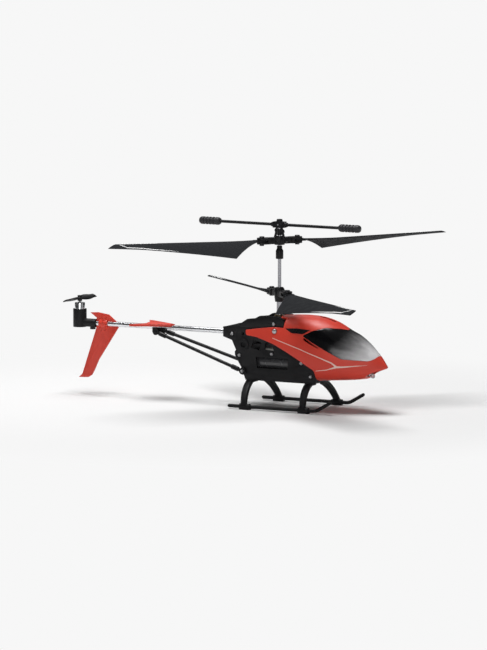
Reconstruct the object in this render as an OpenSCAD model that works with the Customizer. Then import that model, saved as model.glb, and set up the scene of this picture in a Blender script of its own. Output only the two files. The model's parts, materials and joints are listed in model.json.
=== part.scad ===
// Toy helicopter with two coaxial rotors, a flybar, a tail propeller and landing skids.
// X points to the nose, Y to the left side and Z up. The ground is at Z = 0.
// Heights are above the ground; lengths along X are from the rotor axis, as at_mast() places it.

/* [Main rotors] */
// Radius of both main rotors, to the front corner of the blade tips
rotor_r = 98; // [85:1:125]
// Height of the lower blades
lower_rotor_z = 64.6; // [64:0.2:78]
// Distance from the lower blades up to the upper blades
rotor_gap = 29.7; // [27:0.1:36]
// Widest chord of a blade
blade_chord = 21.5; // [16:0.5:24]
// Radius at which a blade is widest
wide_r = 34; // [30:1:42]
// Chord of a blade at its tip
tip_chord = 7.2; // [5:0.1:9]
// How much further out the rear corner of a blade tip lies
tip_rake = 8; // [0:0.5:10]
// Greatest thickness of a blade
blade_t = 1.2; // [1:0.1:1.4]
// Radius from the mast to the screw that a blade folds about
fold_r = 10.9; // [10:0.1:14]
// Direction of the first upper blade
upper_angle = 51.3; // [0:0.1:180]
// Direction of the first lower blade
lower_angle = -38.9; // [-180:0.1:0]
// How far the upper blades slope up towards their tips, in degrees
blade_cone = 0.9; // [0:0.1:2]
// Clearance above and below a blade root in its grip
root_gap = 0.1; // [0.05:0.01:0.2]

/* [Flybar] */
// Distance from the upper blades up to the flybar
flybar_rise = 8.9; // [8.4:0.1:12]
// Half the length of the flybar
flybar_half = 52.6; // [40:1:60]
// Diameter of the flybar rod
flybar_d = 1.7; // [1:0.1:1.8]
// Diameter of a flybar weight
weight_d = 4.4; // [3:0.1:5.4]
// Length of a flybar weight
weight_len = 14; // [8:0.1:18]
// Direction of the flybar
flybar_angle = -3; // [-10:0.5:10]

/* [Shafts and gears] */
// Diameter of the inner shaft
inner_shaft_d = 2; // [1.6:0.1:2.4]
// Wall of the tubular outer shaft
outer_shaft_wall = 0.55; // [0.4:0.05:0.7]
// Radial clearance of every turning fit
run_gap = 0.05; // [0.02:0.01:0.1]
// Gear module
gear_module = 0.35; // [0.3:0.01:0.4]
// Teeth of a main gear
gear_teeth = 44; // [40:4:52]
// Teeth of a motor pinion
pinion_teeth = 10; // [8:1:12]
// Thickness of a main gear
gear_t = 1.5; // [1:0.1:2]
// Diameter of a main motor
motor_d = 10; // [8:0.1:12]
// Length of a main motor
motor_len = 12.8; // [10:0.1:13]
// Diameter of a motor shaft
motor_shaft_d = 1; // [0.8:0.1:1.2]

/* [Frame] */
// Thickness of a side plate
plate_t = 1.2; // [0.8:0.1:2]
// Room between a main gear's teeth and a side plate
gear_room = 0.25; // [0.2:0.05:1]
// Thickness of the floor and decks
deck_t = 1.5; // [1:0.1:1.8]
// Diameter of a frame screw's head
screw_head_d = 2.1; // [1.8:0.1:3]

/* [Cabin] */
// Thickness of the cabin shells
cabin_wall = 1; // [0.8:0.1:1.2]
// How far the cabin bulges past the side plates at its widest
cabin_bulge = 6.5; // [6:0.1:10]

/* [Tail] */
// Diameter of the tail boom
boom_d = 3; // [2.4:0.1:3.6]
// Wall of the tail boom
boom_wall = 0.35; // [0.2:0.05:0.6]
// Distance from the rotor axis back to the tail propeller's axis
tail_reach = 129.2; // [124:0.1:155]
// Radius of the tail propeller
tail_prop_r = 16.7; // [12:0.1:20]
// Diameter of the tail motor
tail_motor_d = 6; // [5:0.1:7]
// Diameter of a tail strut
strut_d = 1.9; // [1:0.1:2.2]
// Half the span of the stabilizer
stabilizer_half = 12; // [10:0.5:18]
// Thickness of the fin and the stabilizer
fin_t = 1.2; // [0.8:0.1:1.6]

/* [Landing skids] */
// Distance between the two skid rods
skid_spacing = 41.6; // [34:0.1:52]
// Diameter of a skid rod
skid_d = 2; // [1.6:0.1:2.6]
// Wall of the sleeves that hold a skid rod
sleeve_wall = 0.7; // [0.5:0.1:1]
// Width of a leg along X
leg_w = 3; // [2:0.1:4]
// Thickness of a leg
leg_t = 2; // [1.4:0.1:2.6]

/* [Hidden] */
$fn = 48;
eps = 0.01;

// Main heights
upper_rotor_z = lower_rotor_z + rotor_gap;
flybar_z = upper_rotor_z + flybar_rise;
frame_bottom_z = 15.3;
plate_top_z = 45;
housing_top_z = 52.2;
motor_deck_z = 30;
inner_gear_z = 31.9;
gear_deck_z = 34.6;
outer_gear_z = 38.5;
boom_z = 41;

// Shafts and fits
inner_shaft_r = inner_shaft_d / 2;
outer_shaft_bore_r = inner_shaft_r + run_gap;
outer_shaft_r = outer_shaft_bore_r + outer_shaft_wall;
bearing_wall = 1.2;
bearing_seat_r = outer_shaft_r + run_gap + bearing_wall;
lower_bearing_r = inner_shaft_r + run_gap + bearing_wall;
shaft_bottom_z = motor_deck_z - 0.8;
outer_shaft_bottom_z = gear_deck_z + 0.2;

// Gears
gear_r = gear_module * gear_teeth / 2;
pinion_r = gear_module * pinion_teeth / 2;
gear_addendum = 0.8 * gear_module;
gear_dedendum = 1.15 * gear_module;
gear_tip_r = gear_r + gear_addendum;
gear_distance = gear_r + pinion_r;
hub_wall = 1.3;

// Frame widths follow from the gears
frame_inner = gear_tip_r + gear_room + 0.05;
frame_half = frame_inner + plate_t;
screw_r = 0.6;
screw_head_r = screw_head_d / 2;
screw_head_t = 0.7;
spacer_r = 1.5;
strut_ear_r = 2.2;
motor_r = motor_d / 2;
motor_shaft_r = motor_shaft_d / 2;

// Places in the side view, each [x, z]
top_screw = [1.3, 47.8];
clamp_screw = [-25.2, boom_z];
rear_screw = [-20.6, 29.1];
deck_screw = [0, motor_deck_z + deck_t / 2];
strut_screw = [-18.3, 20.2];
front_screw = [18.6, 26.6];
toe_screw = [24.6, 19.4];
cabin_screw = [2.8, 44];
cabin_screw_head_r = 1.5;
lamp_r = 1.2;
spacer_places = [rear_screw, strut_screw, front_screw, toe_screw];
clamp_screw_depth = plate_t + 4;

// Guards behind the windows of the side plates
guard_half = 11.5;
guard_y = motor_r * 0.8 + 0.15;
guard_z = 25.5;
guard_t = 0.8;
guard_r = frame_inner - guard_y - 0.3;

// The cabin's roof runs back over the front of the rotor housing
roof_rear_x = 3.3;
roof_half = 5.6;
roof_seat_z = 50.2;

// Blade grips
pivot_r = 2.5;
jaw_r = pivot_r + 0.3;
jaw_t = 1.1;
slot_h = blade_t + 2 * root_gap;
jaw_h = slot_h + 2 * jaw_t;
blade_screw_r = 0.6;
blade_hole_r = blade_screw_r + 0.06;
neck_r = fold_r + jaw_r + 0.3;
grip_hub_r = 2.9;
grip_hub_h = 4.8;
grip_bore_r = inner_shaft_r + 0.5;
arm_w = 4.4;
root_pitch = 21;
tip_pitch = 12;
blade_camber = 0.7;

// Collar below the upper grip, and the sleeve above it
collar_z = upper_rotor_z - 10.4;
collar_r = 2.15;
collar_neck_r = 1.5;

// Flybar and its links; the hinge axes lie across the flybar
carrier_half_l = 5.15;
carrier_half_w = 2;
carrier_h = 3.4;
hinge_pin_r = 0.45;
link_pin_r = 0.45;
link_top_r = 2.4;
rotor_to_carrier = flybar_rise - 3 - carrier_h / 2 - 0.8;
link_bottom_r = 2 * link_top_r;
link_t = 0.9;
link_eye_r = 1.1;
link_inner = carrier_half_w + 0.1;
link_gap = 0.15;
lug_t = 1;
pin_end = link_inner + link_t + 0.3;

fin_boss_r = 1.7;
fin_boss_z = [37, 45.9];

// Tail places along X, from the rotor axis
tail_x = -tail_reach;
mount_wall = 0.9;
mount_r = tail_motor_d / 2 + mount_wall;
boom_r = boom_d / 2;
boom_front_x = -21;
boom_rear_x = tail_x + mount_r + 0.4;
saddle_wall = 0.9;
saddle_r = boom_r + saddle_wall;
mount_front_x = tail_x + 11;
fin_sleeve_rear_x = tail_x + 13.4;
fin_sleeve_front_x = tail_x + 18.6;
bracket_rear_x = -80.5;
bracket_front_x = -72.5;
strut_rear = [-77, 4.4, boom_z - boom_r - 0.8];
strut_tab_t = 1.2;
tail_prop_z = 54.9;
tail_can_top_z = 52.3;
tail_shaft_r = 0.5;

// Skids
skid_y = skid_spacing / 2;
skid_r = skid_d / 2;
sleeve_r = skid_r + sleeve_wall;
skid_z = sleeve_r;
skid_rear_x = -21;
skid_bend_x = 31.5;
skid_bend_r = 8;
skid_bend = 30;
skid_toe = 8;
sleeve_len = 6.4;
leg_rear_x = -11.1;
leg_front_x = 25.9;
leg_foot = [skid_y, skid_z + 2.4];
leg_top = [frame_half + 0.4, frame_bottom_z - leg_t / 2 + 0.2];
leg_bow = 0.087;
leg_lean = 12.8;
leg_top_w = leg_w + 1.2;
leg_root_y = frame_half - 5;
leg_pad_t = 1;

// The origin is midway between the rear of the tail and the front of the lower blade
blade_front = rotor_r + tip_rake;
blade_rear_edge = tip_chord * cos(tip_pitch) - pivot_r;
front_reach = blade_front * cos(lower_angle) + blade_rear_edge * sin(lower_angle);
mast_x = (tail_reach + mount_r - front_reach) / 2;

// ---- Helpers ----

module at_mast() {
    translate([mast_x, 0, 0]) children();
}

// A side-view outline given as [x, z] points, from y0 to y1
module side_prism(points, y0, y1) {
    translate([0, y1, 0]) rotate([90, 0, 0]) linear_extrude(y1 - y0) polygon(points);
}

// A cylinder along +Y from the place [x, z]
module cross_pin(place, y0, y1, r) {
    translate([place[0], y1, place[1]]) rotate([90, 0, 0]) cylinder(r = r, h = y1 - y0);
}

// A cylinder along +X from x0 to x1
module x_rod(x0, x1, y, z, r) {
    translate([x0, y, z]) rotate([0, 90, 0]) cylinder(r = r, h = x1 - x0);
}

// A cylinder from p to q
module rod(p, q, r) {
    d = q - p;
    h = norm(d);
    translate(p) rotate([0, acos(d[2] / h), atan2(d[1], d[0])]) cylinder(r = r, h = h);
}

module mirror_copy() {
    children();
    mirror([0, 1, 0]) children();
}

module tube(r, bore, h) {
    difference() {
        cylinder(r = r, h = h);
        translate([0, 0, -1]) cylinder(r = bore, h = h + 2);
    }
}

// Closed skin through rings of points, one ring after another
module loft(rings) {
    n = len(rings[0]);
    last = len(rings) - 1;
    side = [for (i = [0:last - 1]) for (j = [0:n - 1])
        [i * n + j, i * n + (j + 1) % n, (i + 1) * n + (j + 1) % n, (i + 1) * n + j]];
    ends = [[for (j = [n - 1:-1:0]) j], [for (j = [0:n - 1]) last * n + j]];
    triangles = [for (q = side) for (t = [[q[0], q[1], q[2]], [q[0], q[2], q[3]]]) t];
    polyhedron(points = [for (ring = rings) for (p = ring) p], faces = concat(triangles, ends));
}

// Outline of a spur gear whose first tooth, or first gap, points along +X
module gear_outline(teeth, gap_first) {
    pitch_r = gear_module * teeth / 2;
    step = 360 / teeth;
    turn = gap_first ? step / 2 : 0;
    root_r = pitch_r - gear_dedendum;
    tip_r = pitch_r + gear_addendum;
    root_half = 0.31 * step;
    tip_half = 0.11 * step;
    polygon([for (i = [0:teeth - 1]) for (k = [[-root_half, root_r], [-tip_half, tip_r],
        [tip_half, tip_r], [root_half, root_r]])
        let(a = i * step + turn + k[0]) [k[1] * cos(a), k[1] * sin(a)]]);
}

// ---- Frame ----

plate_outline = [[-31, 39.2], [-25.4, 37.4], [-22.8, 32], [-23.6, 31], [-23.4, 29], [-19.3, 22],
    [-16.7, frame_bottom_z], [27.6, frame_bottom_z], [28.4, 23.2], [20, 30.8], [12, 37.2],
    [7.6, plate_top_z], [-19.5, plate_top_z], [-21, 46.4], [-31, 44.8]];

// The plate's openings: the motor window and the lightening slots
window = [[-9.3, 22.4], [9.7, 22.4], [10.4, 28.6], [-10.2, 28.6]];
slots = [[[-13.2, 33.8], [-8, 32.6], [-6.6, 36.8], [-11.6, 38.4]],
    [[-4.6, 33], [1.4, 32.6], [-0.6, 36.2], [-4, 37.2]]];

module side_plate() {
    difference() {
        union() {
            side_prism(plate_outline, frame_inner, frame_half);
            cross_pin(strut_screw, frame_inner, frame_half, strut_ear_r);
            cross_pin([-17.7, 35.3], frame_half - eps, frame_half + 0.9, 3.2);
        }
        side_prism(window, frame_inner - 1, frame_half + 1);
        for (slot = slots) side_prism(slot, frame_inner - 1, frame_half + 1);
        for (s = concat(spacer_places, [clamp_screw, deck_screw]))
            cross_pin(s, frame_inner - 1, frame_half + 1, screw_r);
        cross_pin(cabin_screw, frame_inner - 1, frame_half + 1, screw_r);
        cross_pin([-17.7, 35.3], frame_half - 0.4, frame_half + 2, 1.7);
        cross_pin([-18.4, 41.4], frame_inner - 1, frame_half + 1, 0.8);
    }
}

module side_plate_left() {
    color("#242426") at_mast() difference() {
        side_plate();
        cross_pin(socket_place, frame_inner - 1, frame_half + 1, socket_r);
        translate([-switch_w / 2, frame_inner - 1, switch_z - switch_h / 2])
            cube([switch_w, plate_t + 2, switch_h]);
    }
}

module side_plate_right() {
    color("#242426") at_mast() mirror([0, 1, 0]) side_plate();
}

module frame_floor() {
    color("#2b2b2d") at_mast() difference() {
        side_prism([[-16.6, frame_bottom_z], [26.8, frame_bottom_z], [26.8, frame_bottom_z + deck_t - 0.3],
            [-16.1, frame_bottom_z + deck_t - 0.3]], -frame_inner, frame_inner);
        for (x = [-4:2:4]) translate([x - 0.4, -5, frame_bottom_z - 1]) cube([0.8, 10, deck_t + 2]);
    }
}

module motor_deck() {
    color("#2b2b2d") at_mast() difference() {
        translate([-gear_distance - motor_r - 0.6, -frame_inner, motor_deck_z])
            cube([2 * (gear_distance + motor_r + 0.6), 2 * frame_inner, deck_t]);
        for (x = [-gear_distance, gear_distance])
            translate([x, 0, motor_deck_z - 1]) cylinder(r = motor_shaft_r + 1.5, h = deck_t + 2);
        translate([0, 0, motor_deck_z - 1]) cylinder(r = lower_bearing_r, h = deck_t + 2);
        for (y = [-frame_inner - 1, frame_inner - 5])
            translate([deck_screw[0], y, deck_screw[1]]) rotate([-90, 0, 0])
                cylinder(r = screw_r, h = 6);
    }
}

module gear_deck() {
    color("#2b2b2d") at_mast() difference() {
        translate([-gear_distance - 4, -frame_inner, gear_deck_z])
            cube([gear_distance + 12, 2 * frame_inner, deck_t]);
        translate([0, 0, gear_deck_z - 1]) cylinder(r = bearing_seat_r, h = deck_t + 2);
        translate([-gear_distance, 0, gear_deck_z - 1]) cylinder(r = 2.2, h = deck_t + 2);
    }
}

module rotor_housing() {
    color("#1f1f21") at_mast() difference() {
        side_prism([[-19.5, plate_top_z], [-21, 46.4], [-15.8, 49.8], [-10.8, 50.4], [-8, 51.9],
            [3.2, housing_top_z - 0.2], [6.9, 50.4], [7.6, 49.2], [7.6, plate_top_z]],
            -frame_half, frame_half);
        translate([0, 0, plate_top_z - 1]) cylinder(r = bearing_seat_r, h = 20);
        translate([roof_rear_x, -roof_half, roof_seat_z]) cube([10, 2 * roof_half, 5]);
        for (y = [-1, 1]) translate([0, y * (frame_half + 3), 0]) rotate([y * 12, 0, 0])
            translate([-30, -5, 48.6]) cube([50, 10, 12]);
        for (y = [-frame_half - 1, frame_half - 5])
            translate([top_screw[0], y, top_screw[1]]) rotate([-90, 0, 0])
                cylinder(r = screw_r, h = 6);
    }
}

module boom_clamp() {
    color("#1f1f21") at_mast() difference() {
        side_prism([[-31, 39.3], [-25.4, 37.5], [-21.4, 37.5], [-20.6, 45], [-31, 44.7]],
            -frame_inner, frame_inner);
        x_rod(-40, -10, 0, boom_z, boom_r);
        mirror_copy()
            cross_pin(clamp_screw, frame_half - clamp_screw_depth, frame_inner + 1, screw_r);
    }
}

// Half-round guards between the motors and the windows of the side plates
module motor_guards() {
    color("#3a3a3c") at_mast() mirror_copy() difference() {
        x_rod(-guard_half, guard_half, guard_y, guard_z, guard_r);
        x_rod(-guard_half - 1, guard_half + 1, guard_y, guard_z, guard_r - guard_t);
        translate([-guard_half - 1, guard_y - 2 * guard_r, guard_z - guard_r - 1])
            cube([2 * guard_half + 2, 2 * guard_r, 2 * guard_r + 2]);
    }
}

module frame_spacers() {
    color("#3a3a3c") at_mast() for (s = spacer_places) difference() {
        cross_pin(s, -frame_inner, frame_inner, spacer_r);
        cross_pin(s, -frame_inner - 1, frame_inner + 1, screw_r);
    }
}

module frame_screw(place, y_face, depth) {
    cross_pin(place, y_face - depth, y_face, screw_r);
    translate([place[0], y_face, place[1]]) rotate([-90, 0, 0]) difference() {
        cylinder(r1 = screw_head_r, r2 = screw_head_r - 0.3, h = screw_head_t);
        for (a = [0, 90]) rotate([0, 0, a])
            translate([-0.75, -0.15, screw_head_t - 0.3]) cube([1.5, 0.3, 1]);
    }
}

module frame_screws() {
    color("#c9cacc") at_mast() mirror_copy() {
        for (s = [rear_screw, front_screw, toe_screw]) frame_screw(s, frame_half, plate_t + 4);
        frame_screw(clamp_screw, frame_half, clamp_screw_depth);
        frame_screw(deck_screw, frame_half, plate_t + 4);
        frame_screw(top_screw, frame_half, 4);
        frame_screw(strut_screw, frame_half + strut_tab_t, strut_tab_t + plate_t + 4);
    }
}

// ---- Bearings and drive ----

module shaft_bearings() {
    color("#b9a26a") at_mast() {
        translate([0, 0, motor_deck_z]) tube(lower_bearing_r, inner_shaft_r + run_gap, deck_t);
        translate([0, 0, gear_deck_z]) tube(bearing_seat_r, outer_shaft_r + run_gap, deck_t);
        translate([0, 0, housing_top_z - 4]) tube(bearing_seat_r, outer_shaft_r + run_gap, 4);
    }
}

module main_motor(x) {
    at_mast() translate([x, 0, motor_deck_z - motor_len]) difference() {
        union() {
            intersection() {
                cylinder(r = motor_r, h = motor_len);
                translate([-motor_r, -motor_r * 0.8, 0]) cube([motor_d, motor_d * 0.8, motor_len]);
            }
            cylinder(r = motor_shaft_r + 1.4, h = motor_len + 1);
        }
        translate([0, 0, motor_len - 3]) cylinder(r = motor_shaft_r + run_gap, h = 5);
    }
}

module motor_front() {
    color("#8c8d90") main_motor(gear_distance);
}

module motor_rear() {
    color("#8c8d90") main_motor(-gear_distance);
}

module main_gear(z, bore) {
    at_mast() translate([0, 0, z]) difference() {
        union() {
            linear_extrude(gear_t) gear_outline(gear_teeth, true);
            cylinder(r = bore + hub_wall, h = gear_t + 0.8);
        }
        translate([0, 0, -1]) cylinder(r = bore, h = gear_t + 3);
        for (a = [0:60:300]) rotate([0, 0, a])
            translate([(gear_r + bore + hub_wall) / 2 - 0.2, 0, -1]) cylinder(r = 1.2, h = gear_t + 2);
    }
}

module inner_gear() {
    color("#e8e6e0") main_gear(inner_gear_z, inner_shaft_r);
}

module outer_gear() {
    color("#e8e6e0") main_gear(outer_gear_z, outer_shaft_r);
}

module pinion(x, z) {
    shaft_z = motor_deck_z - 2.8;
    at_mast() translate([x, 0, 0]) {
        translate([0, 0, shaft_z]) cylinder(r = motor_shaft_r, h = z - shaft_z + eps);
        translate([0, 0, z]) rotate([0, 0, x > 0 ? 180 : 0])
            linear_extrude(gear_t + 0.4) gear_outline(pinion_teeth, false);
    }
}

module front_pinion() {
    color("#c8a24a") pinion(gear_distance, inner_gear_z - 0.2);
}

module rear_pinion() {
    color("#c8a24a") pinion(-gear_distance, outer_gear_z - 0.2);
}

module inner_shaft() {
    color("#c9cacc") at_mast() difference() {
        translate([0, 0, shaft_bottom_z]) cylinder(r = inner_shaft_r, h = flybar_z + 0.6 - shaft_bottom_z);
        across_pin_hole(flybar_z);
        across_pin_hole(upper_rotor_z);
    }
}

module across_pin_hole(z) {
    translate([0, 0, z]) rotate([0, 0, flybar_angle]) rotate([90, 0, 0])
        translate([0, 0, -5]) cylinder(r = hinge_pin_r, h = 10);
}

module outer_shaft() {
    color("#8c8d90") at_mast() translate([0, 0, outer_shaft_bottom_z])
        tube(outer_shaft_r, outer_shaft_bore_r, lower_rotor_z + 3.2 - outer_shaft_bottom_z);
}

module mast_collar() {
    color("#1f1f21") at_mast() difference() {
        union() {
            translate([0, 0, collar_z]) cylinder(r = collar_r, h = 4.6);
            translate([0, 0, collar_z + 4.6]) cylinder(r1 = collar_r, r2 = collar_neck_r, h = 1.2);
            translate([0, 0, collar_z + 5.8]) cylinder(r = collar_neck_r, h = upper_rotor_z - 3 - collar_z - 5.8);
            translate([0, 0, upper_rotor_z + 3]) cylinder(r = collar_neck_r, h = rotor_to_carrier);
        }
        cylinder(r = inner_shaft_r, h = flybar_z + 1);
    }
}

module rotor_pins() {
    color("#c9cacc") at_mast() for (z = [upper_rotor_z, flybar_z]) {
        half = z == flybar_z ? carrier_half_w : grip_hub_r - 0.1;
        translate([0, 0, z]) rotate([0, 0, flybar_angle]) rotate([90, 0, 0])
            translate([0, 0, -half]) cylinder(r = hinge_pin_r, h = 2 * half);
    }
}

// ---- Blades and grips ----

// Shares from 0 at a blade's neck to 1 where it is widest
function root_run(r) = (r - neck_r) / (wide_r - neck_r);
function root_share(r) = pow(root_run(r), 1.2);
function outer_share(r) = (r - wide_r) / (rotor_r - wide_r);
function chord_at(r) = r < wide_r
    ? 2 * pivot_r + (blade_chord - 2 * pivot_r) * root_share(r)
    : blade_chord + (tip_chord - blade_chord) * outer_share(r);
function pitch_at(r) = r < wide_r
    ? root_pitch * pow(root_run(r), 0.6)
    : root_pitch + (tip_pitch - root_pitch) * outer_share(r);

// One ring of a blade that slopes up by cone: x is outward, y is towards the trailing edge
function blade_ring(r, rake, cone) = [for (a = [0:36:324])
    let(s = (1 - cos(a)) / 2,
        c = chord_at(r),
        up = blade_t / 2 * sin(a) + 4 * blade_camber * c / blade_chord * s * (1 - s),
        p = pitch_at(r))
    [r + rake * s, s * c * cos(p) + up * sin(p) - pivot_r,
        up * cos(p) - s * c * sin(p) + (r - neck_r) * tan(cone)]];

root_steps = 7;
outer_steps = 6;
function blade_rings(cone) = concat(
    [for (i = [0:root_steps]) blade_ring(neck_r + (wide_r - neck_r) * i / root_steps, 0, cone)],
    [for (i = [1:outer_steps]) blade_ring(wide_r + (rotor_r - wide_r) * i / outer_steps,
        i == outer_steps ? tip_rake : 0, cone)]);

// A blade along +X; its leading edge is on the -Y side
module blade(cone) {
    difference() {
        union() {
            loft(blade_rings(cone));
            translate([fold_r, 0, -blade_t / 2]) cylinder(r = pivot_r, h = blade_t);
            translate([fold_r, -pivot_r, -blade_t / 2]) cube([neck_r + 1.2 - fold_r, 2 * pivot_r, blade_t]);
        }
        translate([fold_r, 0, -5]) cylinder(r = blade_hole_r, h = 10);
    }
}

module upper_blade(turn) {
    color("#3a3b3d") at_mast() translate([0, 0, upper_rotor_z]) rotate([0, 0, upper_angle + turn])
        blade(blade_cone);
}

module lower_blade(turn) {
    color("#3a3b3d") at_mast() translate([0, 0, lower_rotor_z]) rotate([0, 0, lower_angle + turn])
        mirror([0, 1, 0]) blade(0);
}

module upper_blade_a() {
    upper_blade(0);
}

module upper_blade_b() {
    upper_blade(180);
}

module lower_blade_a() {
    lower_blade(0);
}

module lower_blade_b() {
    lower_blade(180);
}

// The two arms and jaws that a grip holds its blades with
module grip_arms() {
    for (turn = [0, 180]) rotate([0, 0, turn]) difference() {
        union() {
            translate([0, -arm_w / 2, -jaw_h / 2]) cube([fold_r - jaw_r, arm_w, jaw_h]);
            translate([fold_r - jaw_r - 1.6, -jaw_r, -jaw_h / 2]) cube([jaw_r + 1.6, 2 * jaw_r, jaw_h]);
            translate([fold_r, 0, -jaw_h / 2]) cylinder(r = jaw_r, h = jaw_h);
        }
        translate([fold_r - jaw_r, -5, -slot_h / 2]) cube([10, 10, slot_h]);
        translate([fold_r, 0, -5]) cylinder(r = blade_screw_r, h = 10);
        translate([6, 0, -5]) cylinder(r = 0.6, h = 10);
    }
}

module upper_grip() {
    color("#1f1f21") at_mast() translate([0, 0, upper_rotor_z]) difference() {
        union() {
            rotate([0, 0, upper_angle]) grip_arms();
            translate([0, 0, -grip_hub_h / 2]) cylinder(r = grip_hub_r, h = grip_hub_h);
            for (turn = [0, 180]) rotate([0, 0, flybar_angle + turn]) {
                translate([1.5, -carrier_half_w, -1.1]) cube([link_bottom_r - 1.5, lug_t, 2.2]);
                cross_pin([link_bottom_r, 0], -carrier_half_w, lug_t - carrier_half_w, 1.1);
                cross_pin([link_bottom_r, 0], -pin_end, -carrier_half_w + eps, link_pin_r);
            }
        }
        translate([0, 0, -5]) cylinder(r = grip_bore_r, h = 10);
        rotate([0, 0, flybar_angle]) rotate([90, 0, 0]) translate([0, 0, -5])
            cylinder(r = hinge_pin_r + run_gap, h = 10);
    }
}

module lower_grip() {
    color("#1f1f21") at_mast() translate([0, 0, lower_rotor_z]) difference() {
        union() {
            rotate([0, 0, lower_angle]) grip_arms();
            translate([0, 0, -5]) cylinder(r1 = outer_shaft_r + 0.9, r2 = grip_hub_r, h = 2.6);
            translate([0, 0, -2.4]) cylinder(r = grip_hub_r, h = 4.4);
            translate([0, 0, 2]) cylinder(r1 = grip_hub_r, r2 = outer_shaft_r + 0.5, h = 1.2);
        }
        translate([0, 0, -10]) cylinder(r = outer_shaft_r, h = 20);
    }
}

module blade_screws(z, angle) {
    at_mast() translate([0, 0, z]) for (turn = [0, 180]) rotate([0, 0, angle + turn])
        translate([fold_r, 0, 0]) {
            translate([0, 0, -jaw_h / 2]) cylinder(r = blade_screw_r, h = jaw_h);
            translate([0, 0, jaw_h / 2]) cylinder(r = 1.4, h = 0.8);
            translate([0, 0, -jaw_h / 2 - 0.9]) cylinder(r = 1.4, h = 0.9, $fn = 6);
        }
}

module upper_blade_screws() {
    color("#4a4a4c") blade_screws(upper_rotor_z, upper_angle);
}

module lower_blade_screws() {
    color("#4a4a4c") blade_screws(lower_rotor_z, lower_angle);
}

// ---- Flybar ----

module at_flybar() {
    at_mast() translate([0, 0, flybar_z]) rotate([0, 0, flybar_angle]) children();
}

module flybar_carrier() {
    color("#1f1f21") at_flybar() difference() {
        union() {
            translate([-3.4, -carrier_half_w, -carrier_h / 2])
                cube([6.8, 2 * carrier_half_w, carrier_h]);
            for (s = [0, 180]) rotate([0, 0, s]) {
                translate([3.3, 0, 0]) rotate([0, 90, 0])
                    cylinder(r1 = 1.6, r2 = 1.2, h = carrier_half_l - 3.3);
                cross_pin([link_top_r, 0], -pin_end, -carrier_half_w + eps, link_pin_r);
            }
            translate([0, 0, carrier_h / 2]) cylinder(r1 = 1.9, r2 = 1.5, h = 1.4);
        }
        translate([-inner_shaft_r - 0.65, -inner_shaft_r - 0.1, -5])
            cube([2 * inner_shaft_r + 1.3, 2 * inner_shaft_r + 0.2, 6]);
        rotate([90, 0, 0]) translate([0, 0, -5]) cylinder(r = hinge_pin_r + run_gap, h = 10);
        for (s = [0, 180]) rotate([0, 0, s])
            translate([inner_shaft_r + 1.6, 0, 0]) rotate([0, 90, 0]) cylinder(r = flybar_d / 2, h = 10);
    }
}

module flybar_rod() {
    color("#1f1f21") at_flybar() for (s = [0, 180]) rotate([0, 0, s])
        x_rod(inner_shaft_r + 1.6, flybar_half - 1, 0, 0, flybar_d / 2);
}

module flybar_weights() {
    color("#3a3a3c") at_flybar() for (s = [0, 180]) rotate([0, 0, s]) difference() {
        rotate([0, 90, 0]) rotate_extrude() polygon([[0, flybar_half - weight_len],
            [weight_d / 2 - 0.8, flybar_half - weight_len], [weight_d / 2, flybar_half - weight_len + 1],
            [weight_d / 2, flybar_half - 1], [weight_d / 2 - 0.8, flybar_half], [0, flybar_half]]);
        x_rod(0, flybar_half - 1, 0, 0, flybar_d / 2);
        for (k = [0:2]) translate([flybar_half - weight_len + 3 + 3 * k, -5, weight_d / 2 - 0.6])
            cube([1.4, 10, 2]);
    }
}

// A link hangs from the carrier's pin and takes hold of the grip's pin
module link() {
    top = [link_top_r, flybar_z];
    bottom = [link_bottom_r, upper_rotor_z];
    run = bottom - top;
    length = norm(run);
    at_mast() rotate([0, 0, flybar_angle]) translate([0, -link_inner - link_t, 0]) difference() {
        union() {
            cross_pin(top, 0, link_t, link_eye_r);
            cross_pin(bottom, 0, link_t, link_eye_r);
            translate([top[0], 0, top[1]]) rotate([0, atan2(run[0], run[1]), 0])
                translate([-0.6, 0, 0]) cube([1.2, link_t, length]);
            cross_pin(top + run * 0.4, 0, link_t, 1.25);
        }
        cross_pin(top, -1, link_t + 1, link_pin_r + run_gap);
        cross_pin(bottom, -1, link_t + 1, link_pin_r + link_gap);
    }
}

module link_a() {
    color("#1f1f21") link();
}

module link_b() {
    color("#1f1f21") translate([mast_x, 0, 0]) rotate([0, 0, 180]) translate([-mast_x, 0, 0]) link();
}

// ---- Cabin ----

// Each station: x, share of the greatest half width, top, height of the widest line, bottom
cabin_stations = [[-17, 0.79, 52, 31, 12], [-6, 0.81, 52.1, 31, 12], [4, 0.86, 52.4, 31, 12],
    [12, 0.92, 52.9, 31, 13], [20, 0.975, 53, 30.6, 14.5], [28, 1, 52.3, 29.4, 16.8],
    [36, 0.96, 50, 28, 17.4], [44, 0.845, 46, 27, 17.9], [50, 0.72, 43.3, 26.6, 18.4],
    [56, 0.56, 39.1, 26.3, 19.2], [60, 0.45, 35.2, 26.2, 20.2], [62.7, 0.345, 32.6, 26.2, 21.8],
    [65.2, 0.21, 29.8, 26.2, 23.7], [67.8, 0.06, 26.6, 26.1, 25.6]];
cabin_half = frame_half + cabin_bulge;

// How boxy the lower half of a section is: boxy under the middle, rounder towards the nose
function belly_power(x) = 0.5 + 0.4 * max(0, min(1, (x - 28) / 32));

// One cabin section, inset from the outer skin
function cabin_ring(s, inset) = [for (a = [0:12:348])
    let(w = max(s[1] * cabin_half - inset, 0.3),
        up = max(s[2] - s[3] - inset, 0.3),
        down = max(s[3] - s[4] - inset, 0.3),
        flat = sin(a) > 0 ? up : down,
        power = sin(a) > 0 ? 0.86 : belly_power(s[0]))
    [w * sign(cos(a)) * pow(abs(cos(a)), power), s[3] + flat * sign(sin(a)) * pow(abs(sin(a)), 0.92)]];

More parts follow.
